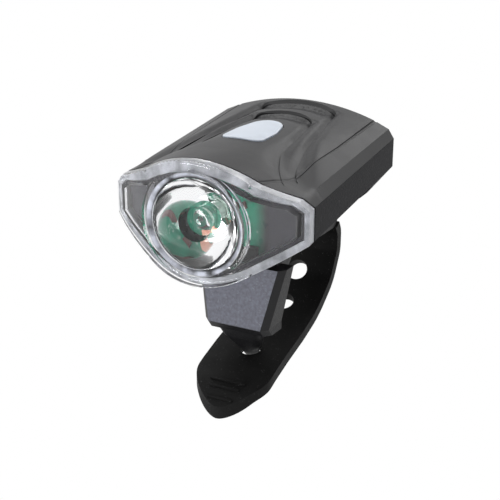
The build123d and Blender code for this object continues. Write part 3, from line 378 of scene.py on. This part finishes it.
# Plain moulded finishes: material name, the mottling's two colours, roughness, scale and strength of the grain, and
# for two of them the mottling's scale
PLAIN = {
    "seal": ("soft_seal", (0.012, 0.012, 0.012), (0.02, 0.02, 0.02), (0.55, 0.7), 4000.0, 0.3),
    # Front seal: its pale colour is painted light, standing in for the light in the window's rims in front of it
    "pale_seal": ("pale_seal", (0.14, 0.145, 0.17), (0.74, 0.76, 0.81), (0.25, 0.45), 1500.0, 0.6, 330.0),
    "chip": ("dark_chip", (0.03, 0.025, 0.022), (0.06, 0.05, 0.045), (0.4, 0.55), 3000.0, 0.2),
    "brown_chip": ("brown_chip", (0.085, 0.03, 0.026), (0.15, 0.06, 0.045), (0.3, 0.45), 3000.0, 0.2, 700.0),
    "pale_plastic": ("switch_pale", (0.62, 0.62, 0.6), (0.7, 0.7, 0.68), (0.4, 0.5), 3000.0, 0.15),
    "tan": ("tan_capacitor", (0.36, 0.22, 0.1), (0.42, 0.28, 0.14), (0.4, 0.5), 3000.0, 0.15),
    "red": ("red_wire", (0.5, 0.015, 0.015), (0.58, 0.03, 0.03), (0.35, 0.5), 3000.0, 0.15),
    "black": ("black_wire", (0.012, 0.012, 0.012), (0.02, 0.02, 0.02), (0.35, 0.5), 3000.0, 0.15),
    "phosphor": ("led_phosphor", (0.55, 0.72, 0.62), (0.66, 0.8, 0.72), (0.2, 0.3), 3000.0, 0.1),
}
BOARD = dict(roughness=(0.25, 0.35), grain=2500.0, depth=0.2, mottle=420.0, specks=(620.0, 0.25),
             speck_colour=(0.62, 0.7, 0.64))


def finish(look, palette):
    """Material of one of the headlight's finishes."""
    if look in METALS:
        return metal(*METALS[look])
    if look in PLAIN:
        return moulded(*PLAIN[look])
    if look == "cover":
        return moulded("satin_top_cover", palette.cover, times(palette.cover, 1.35), (0.42, 0.52), 3600.0, 0.16,
                       gloss=0.22, below=crease_below)
    if look == "case":
        return moulded("textured_case", palette.case, times(palette.case, 3.0), (0.5, 0.62), 2600.0, 0.8,
                       mottle=1500.0, gloss=0.08, specks=(2300.0, 0.34), speck_colour=(0.085, 0.085, 0.092))
    # Bracket: the hook below the step takes the case colour as smoother plastic, and the sides take it as painted
    # shade
    if look == "bracket":
        return moulded("textured_bracket", palette.bracket, times(palette.bracket, 2.2), (0.46, 0.58), 2600.0, 0.8,
                       mottle=1500.0, gloss=0.3, specks=(2300.0, 0.34), speck_colour=(0.3, 0.3, 0.34),
                       over=only_in_front(palette.case))
    if look == "silicone":
        return moulded("black_silicone", palette.strap, times(palette.strap, 1.4), (0.5, 0.68), 5000.0, 0.25,
                       mottle=260.0, gloss=0.12, specks=(2300.0, 0.26), speck_colour=(0.12, 0.12, 0.12))
    if look == "bezel":
        return moulded("dark_bezel", palette.bezel, times(palette.bezel, 1.5), (0.45, 0.6), 2600.0, 0.6,
                       mottle=900.0, specks=(1100.0, 0.2), speck_colour=(0.3, 0.29, 0.33))
    if look == "board":
        return moulded("green_board", palette.board, times(palette.board, 0.7), **BOARD)
    # The lamp board darkens to the bezel's colour away from the lens: painted shade
    if look == "lamp_board":
        return moulded("lamp_board", palette.board, times(palette.board, 0.7), **BOARD,
                       over=painted_side_shade(palette.bezel, *BOARD_PAINTED_SHADE))
    if look == "window":
        return clear_plastic("clear_window", palette.window, 1.46, (0.0, 0.02), 0.3, 0.0128)
    if look == "lens":
        return clear_plastic("clear_lens", palette.window, 1.49, (0.0, 0.01), 0.25, 0.0106, LENS_PAINTED_GLOW_FROM)
    raise ValueError(look)


# Values that the panel shows

class HeadlightPalette(bpy.types.PropertyGroup):
    """Colours of the headlight."""
    cover: bpy.props.FloatVectorProperty(
        name="Cover", description="Colour of the top cover", subtype="COLOR", size=3, default=(0.018, 0.018, 0.019))
    case: bpy.props.FloatVectorProperty(
        name="Case", description="Colour of the textured lower case", subtype="COLOR", size=3,
        default=(0.007, 0.007, 0.008))
    bracket: bpy.props.FloatVectorProperty(
        name="Bracket", description="Colour of the bracket's front", subtype="COLOR", size=3,
        default=(0.070, 0.073, 0.093))
    strap: bpy.props.FloatVectorProperty(
        name="Strap", description="Colour of the silicone strap and flap", subtype="COLOR", size=3,
        default=(0.006, 0.006, 0.006))
    bezel: bpy.props.FloatVectorProperty(
        name="Bezel", description="Colour behind the window's wings", subtype="COLOR", size=3,
        default=(0.027, 0.026, 0.036))
    board: bpy.props.FloatVectorProperty(
        name="Board", description="Colour of the circuit boards", subtype="COLOR", size=3, default=(0.005, 0.33, 0.19))
    window: bpy.props.FloatVectorProperty(
        name="Window", description="Tint of the clear plastic", subtype="COLOR", size=3, default=(0.97, 0.975, 0.985))
    button: bpy.props.FloatVectorProperty(
        name="Button", description="Colour of the silicone button", subtype="COLOR", size=3,
        default=(0.46, 0.50, 0.56))


class HeadlightEdges(bpy.types.PropertyGroup):
    """Rounding of the soft pieces' edges."""
    strap: bpy.props.FloatProperty(
        name="Strap edge", description="Rounding of the strap's edges", unit="LENGTH", default=0.0004)
    flap: bpy.props.FloatProperty(
        name="Flap edge", description="Rounding of the flap's edges", unit="LENGTH", default=0.00015)
    button: bpy.props.FloatProperty(
        name="Button edge", description="Rounding of the button's edge", unit="LENGTH", default=0.00025)
    pad: bpy.props.FloatProperty(
        name="Pad edge", description="Rounding of the saddle pad's edges", unit="LENGTH", default=0.0002)


class HeadlightRelief(bpy.types.PropertyGroup):
    """Hollows in the top cover."""
    leg: bpy.props.FloatProperty(
        name="Leg depth", description="Depth of the hollows along the terraces' legs", unit="LENGTH", default=0.00105)
    arch: bpy.props.FloatProperty(
        name="Arch depth", description="Depth of the hollows before the terraces' arches", unit="LENGTH",
        default=0.0009)
    grid: bpy.props.FloatProperty(
        name="Grid", description="Spacing of the cuts that carry the hollows", unit="LENGTH", default=0.0006)


# Top cover

def eased(value, start, end):
    """Smooth step from 0 at the start to 1 at the end."""
    share = min(1.0, max(0.0, (value - start) / (end - start)))
    return share * share * (3 - 2 * share)


def off_middle(path, y):
    """Distance of a path of (x, y) points from the middle plane, at y."""
    for (x0, y0), (x1, y1) in zip(path, path[1:]):
        if y >= y1:
            break
    return x0 + (x1 - x0) * (y - y0) / (y1 - y0)


def cover_drop(x, y, relief):
    """Depth of the top cover's hollows at one place."""
    across = abs(x)
    width = LEG_HALF_WIDTH + LEG_FLARE * eased(y, *LEG_FLARE_SPAN)
    drop = 0.0
    for leg, middle in TERRACES:
        corner_x, corner_y = leg[0]
        place = sum(off_middle(leg, y + shift) for shift in LEG_BLUR) / len(LEG_BLUR)
        reach = eased(y, *LEG_START) * eased(y, *(corner_y + stop for stop in LEG_STOP))
        drop += relief.leg * reach * exp(-((across - place) / width) ** 2)
        behind = y - middle + (middle - corner_y) * (x / corner_x) ** 2
        bowl = eased(behind, *BOWL_RISE) * eased(behind, *BOWL_FALL)
        drop += relief.arch * bowl * eased(across, *(corner_x + side for side in BOWL_SIDE))
    return drop


def cut_skin(form, spacing):
    """Cuts the cover's upper faces along a grid."""
    for axis, low, high in CUT_SPANS:
        normal = Vector((axis == 0, axis == 1, 0))
        for step in range(int((high - low) / spacing) + 1):
            level = low + spacing * step
            crossed = [face for face in form.faces
                       if min(v.co[axis] for v in face.verts) < level < max(v.co[axis] for v in face.verts)
                       and max(v.co.z for v in face.verts) > COVER_SKIN]
            edges = {edge for face in crossed for edge in face.edges}
            corners = {corner for face in crossed for corner in face.verts}
            bmesh.ops.bisect_plane(form, geom=[*corners, *edges, *crossed], dist=CUT_SNAP,
                                   plane_co=normal * level, plane_no=normal)


def lower_skin(form, relief):
    """Presses the hollows into the cover. Its skin goes down, the screw bosses and the posts below it stay."""
    solid = BVHTree.FromBMesh(form)
    threads = bmesh.new()
    for name in ("board_screws", "case_screws"):
        threads.from_mesh(NODES[name].data)
    screws = BVHTree.FromBMesh(threads)
    threads.free()
    form.normal_update()
    over_all, down = CAD_BOX[1][2] + ABOVE, Vector((0, 0, -1))
    drops = {}
    for corner in form.verts:
        x, y, z = corner.co
        if z <= COVER_SKIN:
            continue
        share = 1.0
        if not any(face.normal.z > UPWARD for face in corner.link_faces):
            skin = solid.ray_cast(Vector((x, y, over_all)), down)[0]
            depth = skin.z - z if skin else 0.0
            room = screws.find_nearest(corner.co)[3]
            share = max(0.0, min(1.0, (INNER_DEPTH - depth) / INNER_FADE, (room - SCREW_ROOM) / SCREW_FADE))
        drops[corner] = share * cover_drop(x, y, relief)
    for corner, drop in drops.items():
        corner.co.z -= drop


# Pieces

def dress(context, looks):
    """Gives CAD nodes their finishes."""
    for look, names in looks.items():
        material = finish(look, context.scene.headlight_palette)
        for name in names:
            mesh = NODES[name].data
            mesh.materials.clear()
            mesh.materials.append(material)


def show(name, mesh, material):
    """Object in the scene with one material."""
    mesh.materials.clear()
    mesh.materials.append(material)
    piece = bpy.data.objects.new(name, mesh)
    bpy.context.scene.collection.objects.link(piece)
    return piece


def soft_copy(node, name, body, material, edge):
    """Soft piece on the form of a CAD node: merged, its flat faces joined, its edges rounded."""
    mesh = bpy.data.meshes.new(name)
    form = bmesh.new()
    form.from_mesh(NODES[node].data)
    bmesh.ops.remove_doubles(form, verts=form.verts, dist=MERGE_GAP)
    bmesh.ops.dissolve_limit(form, angle_limit=radians(FLAT_ANGLE), verts=form.verts, edges=form.edges)
    form.to_mesh(mesh)
    form.free()
    for face in mesh.polygons:
        face.use_smooth = True
    piece = show(name, mesh, material)
    rounding = piece.modifiers.new("rounded_edges", "BEVEL")
    rounding.width = edge
    rounding.segments = EDGE_SEGMENTS
    rounding.limit_method = "ANGLE"
    rounding.angle_limit = radians(EDGE_ANGLE)
    rounding.harden_normals = False
    shade = piece.modifiers.new("weighted_normals", "WEIGHTED_NORMAL")
    shade.keep_sharp = True
    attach(piece, body)
    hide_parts(node)
    return piece


class HEADLIGHT_OT_shells(bpy.types.Operator):
    """Finishes of the case, bracket, strap pin and front seal"""
    bl_idname = "headlight.shells"
    bl_label = "Case and bracket"

    def execute(self, context):
        dress(context, {
            "case": ["bottom_case"],
            "bracket": ["bracket"],
            "steel": ["strap_pin"],
            # The front seal's pale colour is painted light for the window's rims
            "pale_seal": ["front_seal"],
        })
        return {"FINISHED"}


class HEADLIGHT_OT_cover(bpy.types.Operator):
    """Top cover with hollows along its terraces"""
    bl_idname = "headlight.cover"
    bl_label = "Top cover"

    def execute(self, context):
        relief = context.scene.headlight_relief
        form = bmesh.new()
        form.from_mesh(NODES["top_cover"].data)
        bmesh.ops.remove_doubles(form, verts=form.verts, dist=MERGE_GAP)
        cut_skin(form, relief.grid)
        lower_skin(form, relief)
        for edge in form.edges:
            edge.smooth = len(edge.link_faces) == 2 and edge.calc_face_angle() < radians(SHARP_ANGLE)
        for face in form.faces:
            face.smooth = True
        mesh = bpy.data.meshes.new("cover_shell")
        form.to_mesh(mesh)
        form.free()
        piece = show("cover_shell", mesh, finish("cover", context.scene.headlight_palette))
        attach(piece, "lamp")
        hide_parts("top_cover")
        return {"FINISHED"}


class HEADLIGHT_OT_optics(bpy.types.Operator):
    """Finishes of the window, the lens and what shows through them"""
    bl_idname = "headlight.optics"
    bl_label = "Window and lens"

    def execute(self, context):
        dress(context, {
            "window": ["front_cover"],
            "lens": ["tir_lens"],
            "bezel": ["inner_bezel"],
            "lamp_board": ["led_board"],
            "board": ["main_board"],
            "copper": ["copper_strips"],
            "brown_chip": ["led_chips"],
            "phosphor": ["led_emitter", "status_leds"],
            "aluminium": ["heatsink_plate"],
        })
        return {"FINISHED"}


class HEADLIGHT_OT_inside(bpy.types.Operator):
    """Finishes of the other pieces inside the case, and of the screws"""
    bl_idname = "headlight.inside"
    bl_label = "Inner pieces"

    def execute(self, context):
        dress(context, {
            "chip": ["driver_chip", "inductor", "tactile_switch"],
            "pale_plastic": ["switch_plunger"],
            "tan": ["capacitors"],
            "steel": ["usb_socket", "swivel_washer"],
            "foil": ["battery_cell"],
            "seal": ["battery_pad"],
            "red": ["battery_wire_red"],
            "black": ["battery_wire_black", "led_wires"],
            "dark_steel": ["case_screws", "board_screws", "swivel_screw"],
        })
        return {"FINISHED"}


class HEADLIGHT_OT_strap(bpy.types.Operator):
    """Silicone strap with rounded edges"""
    bl_idname = "headlight.strap"
    bl_label = "Strap"

    def execute(self, context):
        scene = context.scene
        soft_copy("strap", "strap_silicone", "strap", finish("silicone", scene.headlight_palette),
                  scene.headlight_edges.strap)
        return {"FINISHED"}


class HEADLIGHT_OT_button(bpy.types.Operator):
    """Pale translucent silicone button"""
    bl_idname = "headlight.button"
    bl_label = "Button"

    def execute(self, context):
        scene = context.scene
        material = silicone_button("button_silicone", scene.headlight_palette.button)
        soft_copy("power_button", "button_cap", "button", material, scene.headlight_edges.button)
        return {"FINISHED"}


class HEADLIGHT_OT_flap(bpy.types.Operator):
    """Silicone flap over the charging port"""
    bl_idname = "headlight.flap"
    bl_label = "Charging flap"

    def execute(self, context):
        scene = context.scene
        soft_copy("usb_flap", "flap_silicone", "usb_flap",
                  finish("silicone", scene.headlight_palette), scene.headlight_edges.flap)
        return {"FINISHED"}


class HEADLIGHT_OT_pad(bpy.types.Operator):
    """Rubber pad in the bracket's saddle"""
    bl_idname = "headlight.pad"
    bl_label = "Saddle pad"

    def execute(self, context):
        scene = context.scene
        soft_copy("saddle_pad", "pad_rubber", "bracket", finish("seal", scene.headlight_palette),
                  scene.headlight_edges.pad)
        return {"FINISHED"}


# Stage

def seen_straight(tree):
    """1 for camera rays and for those that come from a reflection or through glass, else 0."""
    rays = put(tree, "LightPath").outputs
    seen = maths(tree, "MAXIMUM", rays["Is Camera Ray"], rays["Is Glossy Ray"])
    return maths(tree, "MAXIMUM", seen, rays["Is Transmission Ray"])


def lay_floor(level):
    """Pale floor that looks white where it is seen straight."""
    material, tree, shader, _ = new_material("floor_pale")
    shader.inputs["Base Color"].default_value = (*FLOOR_COLOUR, 1)
    shader.inputs["Roughness"].default_value = FLOOR_ROUGHNESS
    white = put(tree, "Emission", {"Color": (1, 1, 1, 1)}).outputs["Emission"]
    mix = put(tree, "MixShader", {"Fac": seen_straight(tree), 1: shader.outputs["BSDF"], 2: white})
    tree.links.new(mix.outputs["Shader"], tree.nodes["Material Output"].inputs["Surface"])
    form = bmesh.new()
    form.faces.new([form.verts.new((x * FLOOR_HALF, y * FLOOR_HALF, level))
                    for x, y in ((-1, -1), (1, -1), (1, 1), (-1, 1))])
    mesh = bpy.data.meshes.new("floor")
    form.to_mesh(mesh)
    form.free()
    show("floor", mesh, material)


def light_world(scene):
    """White surroundings that light the object weakly."""
    world = bpy.data.worlds.new("studio_white")
    world.use_nodes = True
    scene.world = world
    tree = world.node_tree
    fill = tree.nodes["Background"]
    fill.inputs["Color"].default_value = (1, 1, 1, 1)
    fill.inputs["Strength"].default_value = WORLD_FILL
    white = put(tree, "Background", {"Color": (1, 1, 1, 1), "Strength": 1.0}).outputs["Background"]
    mix = put(tree, "MixShader", {"Fac": seen_straight(tree), 1: fill.outputs["Background"], 2: white})
    tree.links.new(mix.outputs["Shader"], tree.nodes["World Output"].inputs["Surface"])


def soft_lamp(scene, name, place, target, size, power):
    light = bpy.data.lights.new(name, "AREA")
    light.shape = "RECTANGLE"
    light.size, light.size_y = size
    light.energy = power
    lamp = bpy.data.objects.new(name, light)
    lamp.location = place
    aim = Vector(target) - Vector(place)
    lamp.rotation_euler = aim.to_track_quat("-Z", "Y").to_euler()
    scene.collection.objects.link(lamp)


def place_camera(scene):
    """Camera on the photograph's view, placed from the front of the lens."""
    turn, tilt = radians(CAMERA_TURN), radians(CAMERA_TILT)
    back = Vector((sin(turn) * cos(tilt), -cos(turn) * cos(tilt), sin(tilt)))
    right = Vector((cos(turn), sin(turn), 0))
    up = back.cross(right)
    camera = bpy.data.cameras.new("camera")
    camera.lens = CAMERA_LENS
    camera.sensor_width = CAMERA_SENSOR
    camera.clip_start = CAMERA_NEAR
    holder = bpy.data.objects.new("camera", camera)
    spot = Vector(LENS_AXIS) + back * CAMERA_BACK + right * CAMERA_RIGHT + up * CAMERA_UP
    holder.matrix_world = Matrix.Translation(spot) @ Matrix((right, up, back)).transposed().to_4x4()
    scene.collection.objects.link(holder)
    scene.camera = holder


class HEADLIGHT_OT_stage(bpy.types.Operator):
    """Pale floor, white surroundings, soft lamps and the camera"""
    bl_idname = "headlight.stage"
    bl_label = "Stage"

    def execute(self, context):
        scene = context.scene
        lay_floor(CAD_BOX[0][2] - FLOOR_DROP)
        light_world(scene)
        for lamp in LAMPS:
            soft_lamp(scene, *lamp)
        place_camera(scene)
        scene.view_settings.view_transform = "Standard"
        return {"FINISHED"}


class HEADLIGHT_PT_panel(bpy.types.Panel):
    """Buttons that build and finish the headlight"""
    bl_label = "Headlight"
    bl_idname = "HEADLIGHT_PT_panel"
    bl_space_type = "VIEW_3D"
    bl_region_type = "UI"
    bl_category = "Headlight"

    def draw(self, context):
        column = self.layout.column()
        for operator in OPERATORS:
            column.operator(operator.bl_idname)
        for group in (context.scene.headlight_palette, context.scene.headlight_edges, context.scene.headlight_relief):
            for label in group.__annotations__:
                column.prop(group, label)


OPERATORS = (
    HEADLIGHT_OT_shells,
    HEADLIGHT_OT_cover,
    HEADLIGHT_OT_optics,
    HEADLIGHT_OT_inside,
    HEADLIGHT_OT_strap,
    HEADLIGHT_OT_button,
    HEADLIGHT_OT_flap,
    HEADLIGHT_OT_pad,
    HEADLIGHT_OT_stage,
)
CLASSES = (HeadlightPalette, HeadlightEdges, HeadlightRelief, *OPERATORS, HEADLIGHT_PT_panel)


def register():
    for part in CLASSES:
        bpy.utils.register_class(part)
    bpy.types.Scene.headlight_palette = bpy.props.PointerProperty(type=HeadlightPalette)
    bpy.types.Scene.headlight_edges = bpy.props.PointerProperty(type=HeadlightEdges)
    bpy.types.Scene.headlight_relief = bpy.props.PointerProperty(type=HeadlightRelief)


def unregister():
    del bpy.types.Scene.headlight_relief
    del bpy.types.Scene.headlight_edges
    del bpy.types.Scene.headlight_palette
    for part in reversed(CLASSES):
        bpy.utils.unregister_class(part)


def main():
    register()
    bpy.ops.headlight.shells()
    bpy.ops.headlight.cover()
    bpy.ops.headlight.optics()
    bpy.ops.headlight.inside()
    bpy.ops.headlight.strap()
    bpy.ops.headlight.button()
    bpy.ops.headlight.flap()
    bpy.ops.headlight.pad()
    bpy.ops.headlight.stage()


if __name__ == "__main__":
    main()
